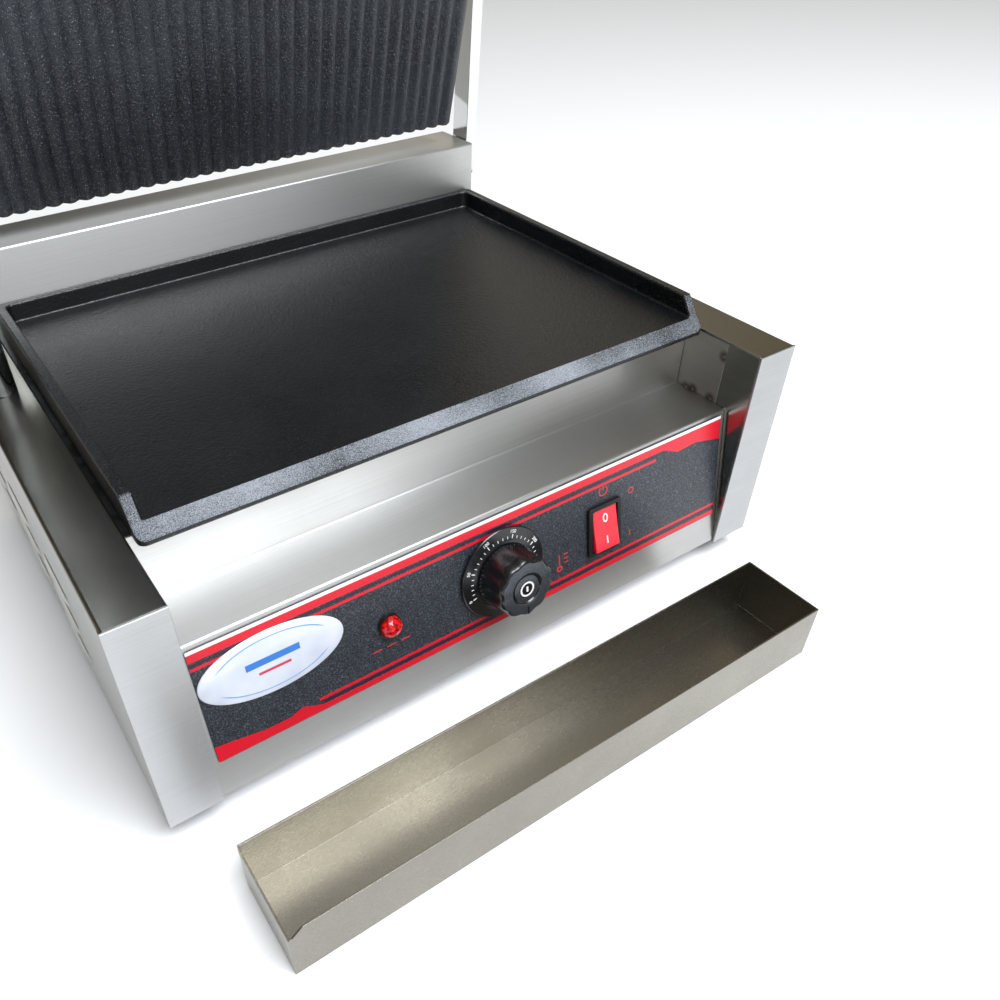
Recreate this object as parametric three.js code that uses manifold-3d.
// Single contact grill (panini press): a folded stainless body between two side columns, a flat cast
// iron lower plate, a ribbed cast iron upper plate carried by a counterbalanced lid, and a loose drip
// tray standing in front. Millimetres. +X is the operator's right, +Y points to the back, +Z is up.
// The lid is drawn open, as it stands when the press is being loaded or cleaned.
import * as THREE from 'three';
import { mergeVertices } from 'three/addons/utils/BufferGeometryUtils.js';
import Module from 'manifold-3d';

const wasm = await Module();
wasm.setup();

// ---------------------------------------------------------------- driving dimensions
const GAP = 0.3; // left between two pieces that touch
const SHEET = 1.2; // stainless sheet of the body
const THIN = 0.5; // stickers and other thin trim

const bodyWidth = 430;
const bodyDepth = 337;
const footHeight = 15;
const footRadius = 13;
const footInset = 24;

const columnWidth = 30;
const columnHeight = 143; // from the underside of the body to the column's top
const returnFlange = 25; // part of a column's inner wall folded from the outer sheet

const shelfHeight = columnHeight - 43; // shelf above the underside of the body
const shelfFront = 17.5;
const shelfRear = 58.7;
const panelFoot = 1.5; // front of the control face at its lower edge
const panelHem = 16;
const frontWallTop = columnHeight - 3.5;

const plateUnderside = columnHeight - 1.3;
const plateFace = columnHeight + 8.3; // flat cooking face above the underside of the body
const plateRimTop = columnHeight + 20.2;
const plateHalfWidth = bodyWidth / 2 - columnWidth - 2.8;
const plateInnerHalf = plateHalfWidth - 6.2;
const plateFront = 43.9;
const plateLipTop = plateUnderside + 3.6;
const plateFaceFront = 50.8;
const plateRimFront = 59;
const plateRear = bodyDepth - 40.5;
const plateRearRim = 5;
const plateCorner = 4.5;

const boxHeight = columnHeight + 52.7; // rear box above the underside of the body
const boxFront = plateRear + 0.5;

const shaftRadius = 6;
const hingeY = boxFront + 19;
const hingeZ = boxHeight - 11.7; // above the underside of the body
const runClearance = 0.25; // round a turning shaft

const armThickness = 9;
const armDepth = 18;
const armInset = 28; // arm's outer face to the body's side
const armTail = 18; // length of the arm behind the hinge
const lidOpenDeg = 86.7; // arms stand this far from closed
const plateLagDeg = 11.3; // the upper plate hangs forward of the arms by this much

const pivotY = 172; // pivot of the upper plate, lid closed
const pivotRadius = 5;
const upperHalfWidth = plateInnerHalf - 4;
const upperRear = plateRear - 10.5; // rear edge of the upper plate, lid closed
const upperLength = upperRear - 58;
const closedGap = 0.6; // between the two plates' faces, lid closed
const ribCount = 34;
const ribDepth = 3;
const upperCore = 13; // thickness of the casting above its ribs
const coverHeight = 46;

const handleY = 12; // centre of the handle bar, lid closed
const handleRadius = 7;
const gripRadius = 14;
const gripHalf = 120;

const knobX = 2.5;
const knobDown = 41; // down the control face from the shelf's edge
const dialRadius = 29;
const dialThickness = 3;
const gripKnobRadius = 19.5;
const gripKnobHeight = 20;
const fluteCount = 10;
const stemRadius = 3;

const lampX = -74;
const lampDown = 41;
const lampRadius = 7;

const switchX = 81;
const switchDown = 44.5;


const rockerWidth = 19;
const rockerHeight = 28.5;
const bezelWidth = rockerWidth + 7;
const bezelHeight = rockerHeight + 6.5;
const rockerTiltDeg = 9;

const badgeX = 74 - bodyWidth / 2;
const badgeDown = 29;
const badgeHalfWidth = 40.5;
const badgeHalfHeight = 19.2;
const overlayTop = 3;
const overlayBottom = 76.5;

const ferruleRadius = 8.5;
const ferruleX = 15 - bodyWidth / 2;
const ferruleY = 225;
const ferruleHeight = 30;
const hoseRadius = 5.5;

const inletReach = 12; // how far the cord inlet stands out behind the body

const trayLength = bodyWidth - 71;
const trayDepth = 53;
const trayHeight = 38;
const traySheet = 1;
const trayX = -14; // tray's centre
const trayFront = -95.3; // in front of the columns' faces
const trayCut = 5; // the left end wall stands this much lower

// ---------------------------------------------------------------- derived places
const floorZ = 0;
const baseZ = floorZ + footHeight;
const halfWidth = bodyWidth / 2;
const innerHalf = halfWidth - columnWidth;
const columnTop = baseZ + columnHeight;
const shelfZ = baseZ + shelfHeight;
const faceZ = baseZ + plateFace;
const boxTop = baseZ + boxHeight;
const shaftZ = baseZ + hingeZ;
const armOuter = halfWidth - armInset + armThickness;
const armInner = armOuter - armThickness;
const upperFace = faceZ + closedGap;
const upperBack = upperFace + ribDepth + upperCore;
const coverBase = upperBack + GAP;
const upperFront = upperRear - upperLength;
const coverTop = coverBase + coverHeight;

// [y, z] after a turn about an axis along x through [aboutY, aboutZ], in degrees
function turned([y, z], aboutY, aboutZ, degrees) {
  const angle = THREE.MathUtils.degToRad(degrees);
  const dy = y - aboutY;
  const dz = z - aboutZ;
  return [
    aboutY + dy * Math.cos(angle) - dz * Math.sin(angle),
    aboutZ + dy * Math.sin(angle) + dz * Math.cos(angle),
  ];
}

// The rear top edge of the cover, with the lid open, reaches further back than the cord inlet. The origin
// is the middle of the footprint.
const coverEdge = turned([upperRear, coverTop], pivotY, shaftZ, plateLagDeg);
const coverReach = turned(coverEdge, hingeY, shaftZ, -lidOpenDeg)[0];
const footprintShift = -(Math.max(coverReach, bodyDepth + inletReach) + trayFront) / 2;

// ---------------------------------------------------------------- geometry helpers
const AXES = {
  x: new THREE.Matrix4().makeBasis(
    new THREE.Vector3(0, 1, 0), new THREE.Vector3(0, 0, 1), new THREE.Vector3(1, 0, 0)),
  y: new THREE.Matrix4().makeBasis(
    new THREE.Vector3(0, 0, 1), new THREE.Vector3(1, 0, 0), new THREE.Vector3(0, 1, 0)),
  z: new THREE.Matrix4(),
};

function toSolid(geometry) {
  const bare = geometry.index ? geometry.toNonIndexed() : geometry.clone();
  bare.deleteAttribute('normal');
  bare.deleteAttribute('uv');
  const merged = mergeVertices(bare, 1e-4);
  const vertProperties = new Float32Array(merged.attributes.position.array);
  const triVerts = new Uint32Array(merged.index.array);
  return new wasm.Manifold(new wasm.Mesh({ numProp: 3, vertProperties, triVerts }));
}

function toGeometry(solid) {
  const mesh = solid.getMesh();
  const geometry = new THREE.BufferGeometry();
  geometry.setAttribute('position', new THREE.BufferAttribute(mesh.vertProperties, 3));
  geometry.setIndex(new THREE.BufferAttribute(mesh.triVerts, 1));
  geometry.computeVertexNormals();
  return geometry;
}

function box(x0, x1, y0, y1, z0, z1) {
  const geometry = new THREE.BoxGeometry(x1 - x0, y1 - y0, z1 - z0);
  geometry.translate((x0 + x1) / 2, (y0 + y1) / 2, (z0 + z1) / 2);
  return geometry;
}

// A closed outline of [u, v] points pushed along an axis. Along x the outline lies in (y, z),
// along y in (z, x) and along z in (x, y).
function prism(points, axis, from, to) {
  const shape = new THREE.Shape(points.map(([u, v]) => new THREE.Vector2(u, v)));
  const geometry = new THREE.ExtrudeGeometry(shape, { depth: to - from, bevelEnabled: false });
  geometry.translate(0, 0, from);
  geometry.applyMatrix4(AXES[axis]);
  return geometry;
}

function circlePoints(radius, sides, u = 0, v = 0) {
  const points = [];
  for (let i = 0; i < sides; i += 1) {
    const angle = (i / sides) * 2 * Math.PI;
    points.push([u + radius * Math.cos(angle), v + radius * Math.sin(angle)]);
  }
  return points;
}

// A rectangle with rounded corners, centred on (0, 0) unless moved.
function roundedRect(halfU, halfV, radius, steps = 4, u = 0, v = 0) {
  const points = [];
  const corners = [[1, 1], [-1, 1], [-1, -1], [1, -1]];
  corners.forEach(([su, sv], quarter) => {
    for (let i = 0; i <= steps; i += 1) {
      const angle = (quarter + i / steps) * (Math.PI / 2);
      points.push([
        u + su * (halfU - radius) + radius * Math.cos(angle),
        v + sv * (halfV - radius) + radius * Math.sin(angle),
      ]);
    }
  });
  return points;
}

// The outline of a folded sheet: an open run of [u, v] points given a thickness on its left.
function foldedOutline(run, thickness) {
  const normals = [];
  for (let i = 0; i < run.length - 1; i += 1) {
    const du = run[i + 1][0] - run[i][0];
    const dv = run[i + 1][1] - run[i][1];
    const length = Math.hypot(du, dv);
    normals.push([-dv / length, du / length]);
  }
  const offset = run.map(([u, v], i) => {
    const before = normals[Math.max(i - 1, 0)];
    const after = normals[Math.min(i, normals.length - 1)];
    const share = 1 + before[0] * after[0] + before[1] * after[1];
    return [
      u + (thickness * (before[0] + after[0])) / share,
      v + (thickness * (before[1] + after[1])) / share,
    ];
  });
  return [...run, ...offset.reverse()];
}

function join(...geometries) {
  return toGeometry(geometries.map(toSolid).reduce((sum, next) => sum.add(next)));
}

function cut(geometry, ...tools) {
  return toGeometry(tools.map(toSolid).reduce((rest, tool) => rest.subtract(tool), toSolid(geometry)));
}

function tube(points, radius, sides, steps) {
  const section = new THREE.Shape(circlePoints(radius, sides).map(([u, v]) => new THREE.Vector2(u, v)));
  const stations = points.map((p) => new THREE.Vector3(...p));
  const path = new THREE.CatmullRomCurve3(stations, false, 'centripetal');
  return new THREE.ExtrudeGeometry(section, { steps, extrudePath: path, bevelEnabled: false });
}

const steel = { color: 0xb9b8b2, roughness: 0.32, metalness: 1 };
const brightSteel = { color: 0xd8d8d4, roughness: 0.12, metalness: 1 };
const iron = { color: 0x1c1d20, roughness: 0.55, metalness: 0.2 };
const bakelite = { color: 0x101012, roughness: 0.2, metalness: 0 };
const rubber = { color: 0x1a1a1a, roughness: 0.85, metalness: 0 };
const wool = { color: 0xd9d2c0, roughness: 0.95, metalness: 0 };
const redPlastic = { color: 0xd01828, roughness: 0.15, metalness: 0 };
const elementSteel = { color: 0x6a6258, roughness: 0.5, metalness: 1 };
const phenolic = { color: 0x4a3322, roughness: 0.4, metalness: 0 };
const brass = { color: 0xb8934a, roughness: 0.3, metalness: 1 };

const press = new THREE.Group();
press.position.y = footprintShift;

function add(name, geometry, look, parent = press) {
  const mesh = new THREE.Mesh(geometry, new THREE.MeshStandardMaterial(look));
  mesh.name = name;
  parent.add(mesh);
  return mesh;
}

const SIDES = [['l', -1], ['r', 1]];

// ---------------------------------------------------------------- feet and base pan
const panFront = 20;
const panRear = bodyDepth - 3;
const panHalf = innerHalf - SHEET - GAP;
const panLip = 12;
add('base_pan', cut(
  box(-panHalf, panHalf, panFront, panRear, baseZ, baseZ + panLip),
  box(-panHalf + SHEET, panHalf - SHEET, panFront + SHEET, panRear - SHEET,
    baseZ + SHEET, baseZ + 2 * panLip),
), steel);

for (const [side, sign] of SIDES) {
  for (const [end, y] of [['f', panFront + footInset], ['r', panRear - footInset]]) {
    const profile = [
      [0, floorZ], [footRadius - 2, floorZ], [footRadius, floorZ + 2],
      [footRadius - 3, baseZ - GAP], [0, baseZ - GAP],
    ].map(([r, z]) => new THREE.Vector2(r, z));
    const foot = new THREE.LatheGeometry(profile, 20);
    foot.rotateX(Math.PI / 2);
    foot.translate(sign * (panHalf - footInset), y, 0);
    add(`foot_${end}${side}`, foot, rubber);
  }
}

// ---------------------------------------------------------------- side columns
const louvreRows = 3;
const louvreColumns = 3;
const louvreLength = 54;
const louvreSlot = 3;
const louvrePitchY = 81;
const louvrePitchZ = 22;
const louvreFront = 105;
const louvreLow = 26;

for (const [side, sign] of SIDES) {
  const span = (a, b) => (sign > 0 ? [a, b] : [-b, -a]);
  const shellFront = SHEET + GAP;
  const slots = [];
  for (let row = 0; row < louvreRows; row += 1) {
    for (let column = 0; column < louvreColumns; column += 1) {
      const y = louvreFront + column * louvrePitchY;
      const z = baseZ + louvreLow + row * louvrePitchZ;
      slots.push(box(...span(halfWidth - 2 * SHEET, halfWidth + SHEET),
        y, y + louvreLength, z, z + louvreSlot));
    }
  }
  if (sign < 0) {
    const hole = prism(circlePoints(ferruleRadius - 2 + GAP, 16, ferruleX, ferruleY), 'z',
      columnTop - 2 * SHEET, columnTop + SHEET);
    slots.push(hole);
  }
  const shell = join(
    box(...span(halfWidth - SHEET, halfWidth), shellFront, bodyDepth, baseZ, columnTop),
    box(...span(innerHalf, halfWidth), shellFront, bodyDepth, columnTop - SHEET, columnTop),
    box(...span(innerHalf, innerHalf + SHEET), shellFront, returnFlange, baseZ, columnTop),
    box(...span(innerHalf + SHEET + GAP, halfWidth), bodyDepth - SHEET, bodyDepth, baseZ, columnTop),
  );
  add(`side_shell_${side}`, cut(shell, ...slots), steel);
  add(`inner_wall_${side}`, box(...span(innerHalf, innerHalf + SHEET),
    returnFlange + GAP, bodyDepth - SHEET - GAP, baseZ, columnTop - SHEET - GAP), steel);
  add(`column_front_${side}`, box(...span(innerHalf, halfWidth), 0, SHEET, baseZ, columnTop), steel);
}

// ---------------------------------------------------------------- folded front sheet
const panelHalf = innerHalf - GAP;
const faceDown = new THREE.Vector3(0, panelFoot - shelfFront, SHEET - shelfHeight).normalize();
const faceLeanX = Math.atan2(-faceDown.y, -faceDown.z);

// A group whose z axis points out of the control face, y up the face and origin on its surface.
function onFace(x, down) {
  const group = new THREE.Group();
  group.position.set(x, shelfFront + faceDown.y * down, shelfZ + faceDown.z * down);
  group.rotation.x = Math.PI / 2 - faceLeanX;
  press.add(group);
  return group;
}

// The same placing for a cutter, baked into its geometry.
function placeOnFace(geometry, x, down) {
  const matrix = new THREE.Matrix4().makeRotationX(Math.PI / 2 - faceLeanX);
  matrix.setPosition(x, shelfFront + faceDown.y * down, shelfZ + faceDown.z * down);
  geometry.applyMatrix4(matrix);
  return geometry;
}

const frontRun = [
  [shelfRear, baseZ + frontWallTop], [shelfRear, shelfZ], [shelfFront, shelfZ],
  [panelFoot, baseZ + SHEET], [panelFoot + panelHem, baseZ + SHEET],
];
const stemHole = stemRadius + 1.5;
const lampThroat = lampRadius - 2;
const throatWidth = rockerWidth + 2.4;
const throatHeight = rockerHeight + 2.4;
const holeDepth = 8;

function faceCutter(outline, x, down) {
  return placeOnFace(prism(outline, 'z', -holeDepth, holeDepth), x, down);
}

const frontBlank = prism(foldedOutline(frontRun, SHEET), 'x', -panelHalf, panelHalf);
const panelHoles = (clearance) => [
  faceCutter(circlePoints(stemHole + clearance, 20), knobX, knobDown),
  faceCutter(circlePoints(lampThroat + clearance, 20), lampX, lampDown),
  faceCutter(roundedRect(throatWidth / 2 + clearance, throatHeight / 2 + clearance, 1),
    switchX, switchDown),
];
add('front_panel', cut(frontBlank, ...panelHoles(GAP)), steel);

// ---------------------------------------------------------------- sticker and badge
const overlayHalf = panelHalf - 3;
const overlayMiddle = (overlayTop + overlayBottom) / 2;
const overlayHalfHeight = (overlayBottom - overlayTop) / 2;
const overlaySheet = placeOnFace(
  prism(roundedRect(overlayHalf, overlayHalfHeight, 1.5, 2), 'z', GAP, GAP + THIN), 0, overlayMiddle);
add('control_overlay', cut(overlaySheet, ...panelHoles(GAP)),
  { color: 0x2a2d33, roughness: 0.35, metalness: 0 });
const trimLevel = 2 * GAP + THIN; // underside of what lies on the sticker

const badgeOutline = [];
const badgeSteps = 40;
for (let i = 0; i < badgeSteps; i += 1) {
  const angle = (i / badgeSteps) * 2 * Math.PI;
  badgeOutline.push([badgeHalfWidth * Math.cos(angle), badgeHalfHeight * Math.sin(angle)]);
}
add('badge_oval', prism(badgeOutline, 'z', trimLevel, trimLevel + THIN),
  { color: 0xf2f3f5, roughness: 0.3, metalness: 0 }, onFace(badgeX, badgeDown));

// ---------------------------------------------------------------- pilot lamp
const lamp = onFace(lampX, lampDown);
const lampBodyLength = 24;
const lampFlange = 1.6;
const lampCase = join(
  prism(circlePoints(lampThroat, 20), 'z', -lampBodyLength, trimLevel + lampFlange),
  prism(circlePoints(lampRadius, 20), 'z', trimLevel, trimLevel + lampFlange),
);
add('lamp_body', lampCase, bakelite, lamp);
const lensBase = trimLevel + lampFlange + GAP;
const lensProfile = [[0, 0], [lampRadius - 0.6, 0], [lampRadius - 0.6, 2.2], [lampRadius - 2.4, 5], [0, 6]]
  .map(([r, z]) => new THREE.Vector2(r, z));
const lens = new THREE.LatheGeometry(lensProfile, 12);
lens.rotateX(Math.PI / 2);
lens.translate(0, 0, lensBase);
add('lamp_lens', lens, redPlastic, lamp);

// ---------------------------------------------------------------- thermostat and knob
const thermostat = onFace(knobX, knobDown);
const thermostatTop = -SHEET - GAP - 1;
const thermostatDepth = 30;
const thermostatSize = 20;
const bushRadius = stemHole - 0.5;
const bushTop = 1;
const stemTop = 17;
const stemBottom = thermostatTop - 12;
add('thermostat_body', cut(
  join(
    prism(roundedRect(thermostatSize, thermostatSize - 4, 3), 'z',
      thermostatTop - thermostatDepth, thermostatTop),
    prism(circlePoints(bushRadius, 20), 'z', thermostatTop - thermostatDepth / 2, bushTop),
  ),
  prism(circlePoints(stemRadius + runClearance, 20), 'z', stemBottom - GAP, bushTop + SHEET),
), phenolic, thermostat);
add('thermostat_stem', prism(circlePoints(stemRadius, 20), 'z', stemBottom, stemTop), brass, thermostat);

const dialLevel = trimLevel + 1;
const socket = prism(circlePoints(stemRadius + GAP, 20), 'z', -GAP, stemTop + GAP);
const dialProfile = [
  [stemRadius + GAP, 0], [dialRadius, 0], [dialRadius, 1.2], [gripKnobRadius + 1.5, dialThickness],
  [stemRadius + GAP, dialThickness], [stemRadius + GAP, 0],
].map(([r, z]) => new THREE.Vector2(r, z));
const dial = new THREE.LatheGeometry(dialProfile, 48);
dial.rotateX(Math.PI / 2);
dial.translate(0, 0, dialLevel);
add('knob_dial', dial, bakelite, thermostat);

const knobLevel = dialLevel + dialThickness + GAP;
const fluteDepth = 1.1;
const knobOutline = [];
const fluteSteps = fluteCount * 8;
for (let i = 0; i < fluteSteps; i += 1) {
  const angle = (i / fluteSteps) * 2 * Math.PI;
  const r = gripKnobRadius - fluteDepth * (1 - Math.abs(Math.cos((fluteCount / 2) * angle)));
  knobOutline.push([r * Math.cos(angle), r * Math.sin(angle)]);
}
add('knob_grip', cut(prism(knobOutline, 'z', knobLevel, knobLevel + gripKnobHeight), socket),
  bakelite, thermostat);

// ---------------------------------------------------------------- power switch
const switchGroup = onFace(switchX, switchDown);
const bezelThickness = 2.2;
const switchDepth = 26;
const wellDepth = 14;
const wellHalfWidth = rockerWidth / 2 + 0.5;
const wellHalfHeight = rockerHeight / 2 + 0.5;
add('switch_body', cut(
  join(
    prism(roundedRect(bezelWidth / 2, bezelHeight / 2, 2), 'z', trimLevel, trimLevel + bezelThickness),
    prism(roundedRect(throatWidth / 2, throatHeight / 2, 1), 'z',
      -switchDepth, trimLevel + bezelThickness),
  ),
  box(-wellHalfWidth, wellHalfWidth, -wellHalfHeight, wellHalfHeight,
    -wellDepth, trimLevel + 2 * bezelThickness),
), bakelite, switchGroup);

// A rocker is a shallow V seen from the side: one wing is down while the other stands out.
const rockerPivotLevel = -2;
const rockerEdge = 3.2;
const rockerMiddle = 5.5;
const rockerOutline = [
  [-rockerHeight / 2, rockerEdge], [0, rockerMiddle - 2.6], [rockerHeight / 2, rockerEdge],
  [rockerHeight / 2 - 1, -1.5], [0, -7], [-rockerHeight / 2 + 1, -1.5],
].reverse();
const rockerPivot = new THREE.Group();
rockerPivot.position.z = rockerPivotLevel + 3;
rockerPivot.rotation.x = -THREE.MathUtils.degToRad(rockerTiltDeg);
switchGroup.add(rockerPivot);
add('rocker', prism(rockerOutline, 'x', -rockerWidth / 2, rockerWidth / 2), redPlastic, rockerPivot);

// ---------------------------------------------------------------- lower plate and its heater
const pocketTop = baseZ + plateRimTop + 5;
const plateSide = [
  [plateFront, baseZ + plateUnderside], [plateRear, baseZ + plateUnderside],
  [plateRear, baseZ + plateRimTop], [plateRimFront, baseZ + plateRimTop],
  [plateFaceFront, faceZ], [plateFront, baseZ + plateLipTop],
];
const pocketRear = plateRear - plateRearRim;
const pocketLength = pocketRear - plateFront + 2 * plateCorner;
const pocket = prism(
  roundedRect(plateInnerHalf, pocketLength / 2, plateCorner, 5, 0, pocketRear - pocketLength / 2),
  'z', faceZ, pocketTop);
const plateCorners = prism(
  roundedRect(plateHalfWidth, (plateRear - plateFront) / 2, plateCorner, 5,
    0, (plateRear + plateFront) / 2),
  'z', baseZ, pocketTop);
const plateBlank = toSolid(prism(plateSide, 'x', -plateHalfWidth, plateHalfWidth));
const plateSolid = plateBlank.intersect(toSolid(plateCorners)).subtract(toSolid(pocket));
add('lower_plate', toGeometry(plateSolid), iron);

// A tubular element folded to and fro under a plate.
const elementRadius = 4;
function serpentine(halfSpan, yFrom, yTo, runs, z) {
  const points = [];
  for (let i = 0; i < runs; i += 1) {
    const y = yFrom + ((yTo - yFrom) * i) / (runs - 1);
    const sign = i % 2 === 0 ? -1 : 1;
    points.push([sign * halfSpan, y, z], [0, y, z], [-sign * halfSpan, y, z]);
  }
  return tube(points, elementRadius, 6, runs * 14);
}
const elementZ = baseZ + plateUnderside - elementRadius - GAP;
add('lower_element', serpentine(140, 90, 255, 5, elementZ), elementSteel);
const woolTop = elementZ - elementRadius - GAP;
const woolThickness = 14;
add('lower_insulation', box(-150, 150, 75, 280, woolTop - woolThickness, woolTop), wool);
const shieldTop = woolTop - woolThickness - GAP;
add('heat_shield', box(-innerHalf + GAP, innerHalf - GAP, shelfRear + 5, boxFront - 5,
  shieldTop - SHEET, shieldTop), steel);

// ---------------------------------------------------------------- rear box
const boxHalf = innerHalf - GAP;
const boxEndHalf = armInner - 1.2;
const boxShell = cut(
  box(-boxEndHalf, boxEndHalf, boxFront, bodyDepth - SHEET - GAP, columnTop + GAP, boxTop),
  box(-boxEndHalf + SHEET, boxEndHalf - SHEET, boxFront + SHEET, bodyDepth, baseZ, boxTop - SHEET),
);
const boxFrontSkirt = box(-boxHalf, boxHalf, boxFront, boxFront + SHEET,
  baseZ + 60, columnTop + 2 * SHEET);
const bushRadiusOuter = shaftRadius + 3;
const shaftHole = prism(circlePoints(bushRadiusOuter + GAP, 24, hingeY, shaftZ), 'x',
  -halfWidth, halfWidth);
add('rear_box', cut(join(boxShell, boxFrontSkirt), shaftHole), steel);
add('rear_panel', join(
  box(-boxEndHalf, boxEndHalf, bodyDepth - SHEET, bodyDepth, columnTop + GAP, boxTop),
  box(-boxHalf, boxHalf, bodyDepth - SHEET, bodyDepth, baseZ + GAP, columnTop + 2 * SHEET),
), steel);

// ---------------------------------------------------------------- hinge shaft, bushes and springs
const bushLength = 12;
for (const [side, sign] of SIDES) {
  const inner = boxEndHalf - bushLength;
  const outer = boxEndHalf;
  const bush = cut(
    prism(circlePoints(bushRadiusOuter, 24, hingeY, shaftZ), 'x', inner, outer),
    prism(circlePoints(shaftRadius + runClearance, 24, hingeY, shaftZ), 'x', inner - 1, outer + 1),
  );
  bush.translate(sign > 0 ? 0 : -(inner + outer), 0, 0);
  add(`hinge_bush_${side}`, bush, brass);
}

const springWire = 1.5;
const springRadius = shaftRadius + springWire + 0.8;
const springTurns = 7;
const springHalf = 30;
const springX = 110;
for (const [side, sign] of SIDES) {
  const coil = [];
  const stepsPerTurn = 10;
  for (let i = 0; i <= springTurns * stepsPerTurn; i += 1) {
    const angle = sign * (i / stepsPerTurn) * 2 * Math.PI;
    const along = -springHalf + (2 * springHalf * i) / (springTurns * stepsPerTurn);
    coil.push([
      sign * springX + along,
      hingeY + springRadius * Math.cos(angle),
      shaftZ + springRadius * Math.sin(angle),
    ]);
  }
  add(`torsion_spring_${side}`, tube(coil, springWire, 6, springTurns * stepsPerTurn), elementSteel);
}

// ---------------------------------------------------------------- lid: everything that swings on the shaft
// The group turns about the hinge. Inside it the pieces are drawn as they lie with the lid closed.
const lid = new THREE.Group();
lid.position.set(0, hingeY, shaftZ);
lid.rotation.x = -THREE.MathUtils.degToRad(lidOpenDeg);
press.add(lid);
const lidFrame = new THREE.Group();
lidFrame.position.set(0, -hingeY, -shaftZ);
lid.add(lidFrame);

add('hinge_shaft', prism(circlePoints(shaftRadius, 24, hingeY, shaftZ), 'x', -armInner + GAP, armInner - GAP),
  elementSteel, lidFrame);

const armEndRound = armDepth / 2;
const armOutline = [];
const armRoundSteps = 8;
for (const [centre, start] of [[hingeY + armTail - armEndRound, -Math.PI / 2], [handleY, Math.PI / 2]]) {
  for (let i = 0; i <= armRoundSteps; i += 1) {
    const angle = start + (i / armRoundSteps) * Math.PI;
    armOutline.push([centre + armEndRound * Math.cos(angle), shaftZ + armEndRound * Math.sin(angle)]);
  }
}
for (const [side, sign] of SIDES) {
  const [from, to] = sign > 0 ? [armInner, armOuter] : [-armOuter, -armInner];
  const pivotHole = prism(circlePoints(pivotRadius + runClearance, 20, pivotY, shaftZ), 'x',
    from - 1, to + 1);
  add(`arm_${side}`, cut(prism(armOutline, 'x', from, to), pivotHole), brightSteel, lidFrame);
}

const handleHalf = armInner - GAP;
add('handle_bar', prism(circlePoints(handleRadius, 16, handleY, shaftZ), 'x', -handleHalf, handleHalf),
  brightSteel, lidFrame);
add('handle_grip', cut(
  prism(circlePoints(gripRadius, 24, handleY, shaftZ), 'x', -gripHalf, gripHalf),
  prism(circlePoints(handleRadius + GAP, 16, handleY, shaftZ), 'x', -gripHalf - 1, gripHalf + 1),
), bakelite, lidFrame);

// ---------------------------------------------------------------- upper plate, which floats on its pivots
const floating = new THREE.Group();
floating.position.set(0, pivotY, shaftZ);
floating.rotation.x = THREE.MathUtils.degToRad(plateLagDeg);
lidFrame.add(floating);
const plateFrame = new THREE.Group();
plateFrame.position.set(0, -pivotY, -shaftZ);
floating.add(plateFrame);

const ribPitch = (2 * upperHalfWidth) / ribCount;
const ribOutline = [];
for (let i = 0; i < ribCount; i += 1) {
  const left = -upperHalfWidth + i * ribPitch;
  ribOutline.push([upperFace + ribDepth, left]);
  ribOutline.push([upperFace + 0.6, left + ribPitch * 0.22]);
  ribOutline.push([upperFace, left + ribPitch * 0.5]);
  ribOutline.push([upperFace + 0.6, left + ribPitch * 0.78]);
}
ribOutline.push([upperFace + ribDepth, upperHalfWidth]);
ribOutline.push([upperBack, upperHalfWidth], [upperBack, -upperHalfWidth]);
add('upper_plate', prism(ribOutline, 'y', upperFront, upperRear), iron, plateFrame);

const upperElementZ = upperBack + GAP + elementRadius;
add('upper_element', serpentine(135, upperFront + 32, upperRear - 32, 5, upperElementZ),
  elementSteel, plateFrame);
const upperWoolBase = upperElementZ + elementRadius + GAP;
add('upper_insulation', box(-150, 150, upperFront + 16, upperRear - 16,
  upperWoolBase, upperWoolBase + woolThickness), wool, plateFrame);
const bossRadius = 9;
const pivotPocket = (sign) => prism(circlePoints(pivotRadius + GAP, 20, pivotY, shaftZ), 'x',
  sign > 0 ? upperHalfWidth - 2 * SHEET : -upperHalfWidth - SHEET,
  sign > 0 ? upperHalfWidth + SHEET : -upperHalfWidth + 2 * SHEET);
add('upper_cover', cut(
  box(-upperHalfWidth, upperHalfWidth, upperFront, upperRear, coverBase, coverTop),
  box(-upperHalfWidth + SHEET, upperHalfWidth - SHEET, upperFront + SHEET, upperRear - SHEET,
    coverBase - SHEET, coverTop - SHEET),
  pivotPocket(1),
  pivotPocket(-1),
), steel, plateFrame);

// A shoulder bolt on each side: its head outside the arm, its spacer between arm and cover.
const boltHead = 3.5;
const spacerOuter = armInner - 0.5;
const boltTip = upperHalfWidth - 8;
for (const [side, sign] of SIDES) {
  const parts = [
    [pivotRadius, boltTip, armOuter + 0.5 + boltHead],
    [bossRadius, upperHalfWidth + GAP, spacerOuter],
    [bossRadius - 1, armOuter + 0.5, armOuter + 0.5 + boltHead],
  ].map(([r, from, to]) => prism(circlePoints(r, 20, pivotY, shaftZ), 'x',
    sign > 0 ? from : -to, sign > 0 ? to : -from));
  add(`pivot_bolt_${side}`, join(...parts), elementSteel, plateFrame);
}

// ---------------------------------------------------------------- conduit with the upper heater's leads
const ferruleBase = columnTop + GAP;
const ferruleTop = ferruleBase + ferruleHeight;
const ferrule = join(
  prism(circlePoints(ferruleRadius, 24, ferruleX, ferruleY), 'z', ferruleBase, ferruleTop),
  prism(circlePoints(ferruleRadius - 2, 24, ferruleX, ferruleY), 'z', columnTop - 10, ferruleBase + 1),
);
add('conduit_ferrule', ferrule, brightSteel);

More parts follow.
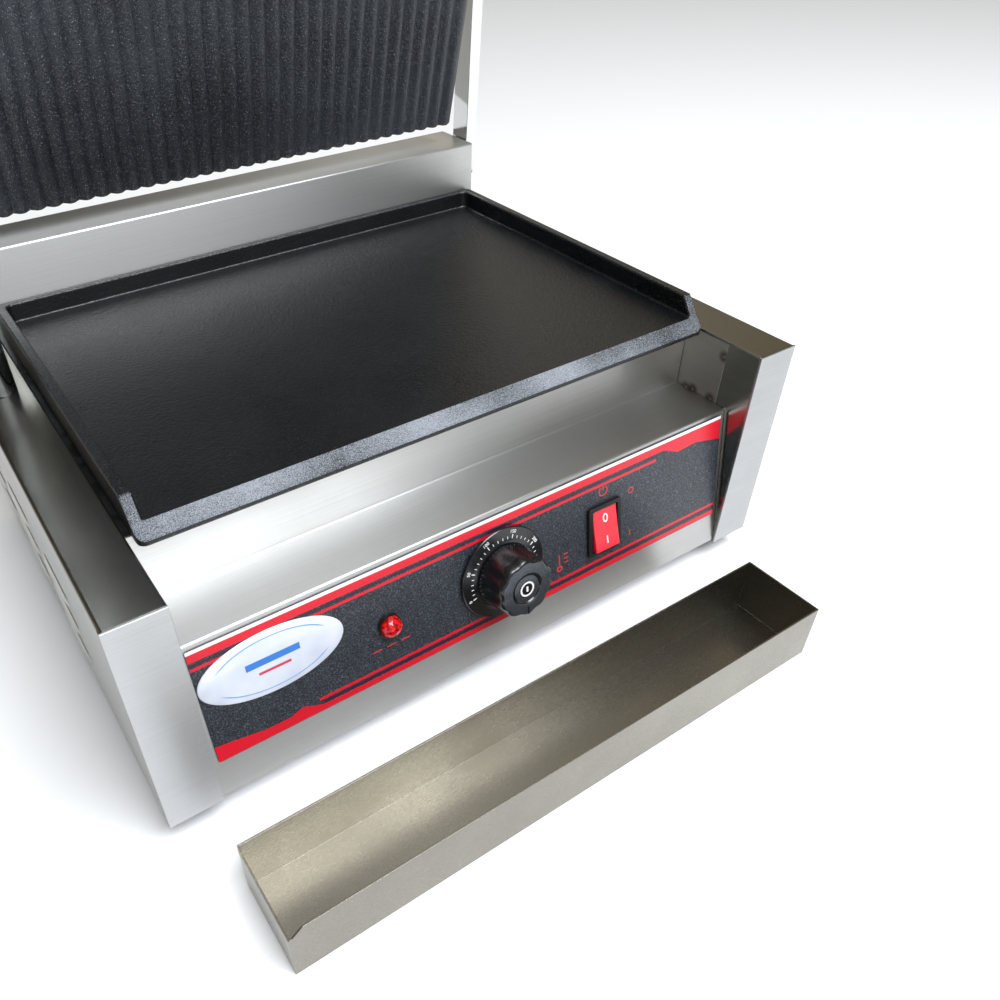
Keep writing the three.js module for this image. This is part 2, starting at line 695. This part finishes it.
const elbowX = -armOuter - 0.5 - boltHead - GAP - 4;
const [elbowY, elbowZ] = turned([pivotY, shaftZ], hingeY, shaftZ, -lidOpenDeg);
const elbowRadius = 8;
const hoseEnd = elbowRadius + GAP;
add('conduit_elbow', prism(circlePoints(elbowRadius, 20, pivotY, shaftZ), 'x', elbowX - 6, elbowX + 4),
  brightSteel, lidFrame);
add('conduit_hose', tube([
  [ferruleX, ferruleY, ferruleTop + 2 * GAP],
  [ferruleX, ferruleY, ferruleTop + 12],
  [ferruleX - 2, ferruleY + 3, ferruleTop + 32],
  [elbowX + 2, ferruleY + 18, ferruleTop + 72],
  [elbowX, ferruleY + 48, ferruleTop + 112],
  [elbowX, elbowY - 16, elbowZ - hoseEnd - 18],
  [elbowX, elbowY - 3, elbowZ - hoseEnd - 1.5],
], hoseRadius, 10, 36), brightSteel);

// ---------------------------------------------------------------- wiring behind the panel
const inletZ = baseZ + 45;
const inletX = 120;
const inletRadius = 9;
const gland = join(
  prism(circlePoints(inletRadius, 16, inletZ, inletX), 'y', bodyDepth + GAP, bodyDepth + inletReach),
  prism(circlePoints(inletRadius - 2, 16, inletZ, inletX), 'y', bodyDepth - 20, bodyDepth + 2),
);
const glandPassage = prism(circlePoints(4, 12, inletZ, inletX), 'y',
  bodyDepth - 21, bodyDepth + inletReach + 1);
add('cord_gland', cut(gland, glandPassage), bakelite);
const panelNode = press.children.find((child) => child.name === 'rear_panel');
panelNode.geometry = cut(panelNode.geometry,
  prism(circlePoints(inletRadius - 2 + GAP, 16, inletZ, inletX), 'y', bodyDepth - 5, bodyDepth + 5));

add('terminal_block', box(80, 130, bodyDepth - 50, bodyDepth - 28, baseZ + SHEET + GAP, baseZ + 22), phenolic);
const capillaryRadius = 1.5;
const bulbZ = shieldTop - SHEET - capillaryRadius - 1;
add('capillary_tube', tube([
  [knobX, 75, baseZ + 52],
  [knobX + 20, 95, baseZ + 60],
  [knobX + 30, 130, bulbZ - 9],
  [knobX + 10, 170, bulbZ],
  [knobX - 40, 190, bulbZ],
], capillaryRadius, 6, 24), brass);

// ---------------------------------------------------------------- drip tray, standing on the floor in front
const trayRear = trayFront + trayDepth;
const trayLeft = trayX - trayLength / 2;
const trayRight = trayX + trayLength / 2;
const trayTop = floorZ + trayHeight;
const chamfer = 7;
const trayBlank = cut(
  box(trayLeft, trayRight, trayFront, trayRear, floorZ, trayTop),
  box(trayLeft + traySheet, trayRight - traySheet, trayFront + traySheet, trayRear - traySheet,
    floorZ + traySheet, trayTop + traySheet),
);
const lowEnd = box(trayLeft - 1, trayLeft + 2 * traySheet, trayFront - 1, trayRear - traySheet - GAP,
  trayTop - trayCut, trayTop + 1);
const cornerCut = prism([
  [trayTop + 1, trayLeft - 1], [trayTop - trayCut, trayLeft - 1], [trayTop - trayCut, trayLeft + 2],
  [trayTop + 1, trayLeft + 2 + chamfer],
], 'y', trayFront - 1, trayFront + 2 * traySheet);
add('drip_tray', cut(trayBlank, lowEnd, cornerCut), { color: 0xa9a496, roughness: 0.35, metalness: 1 });

export default press;
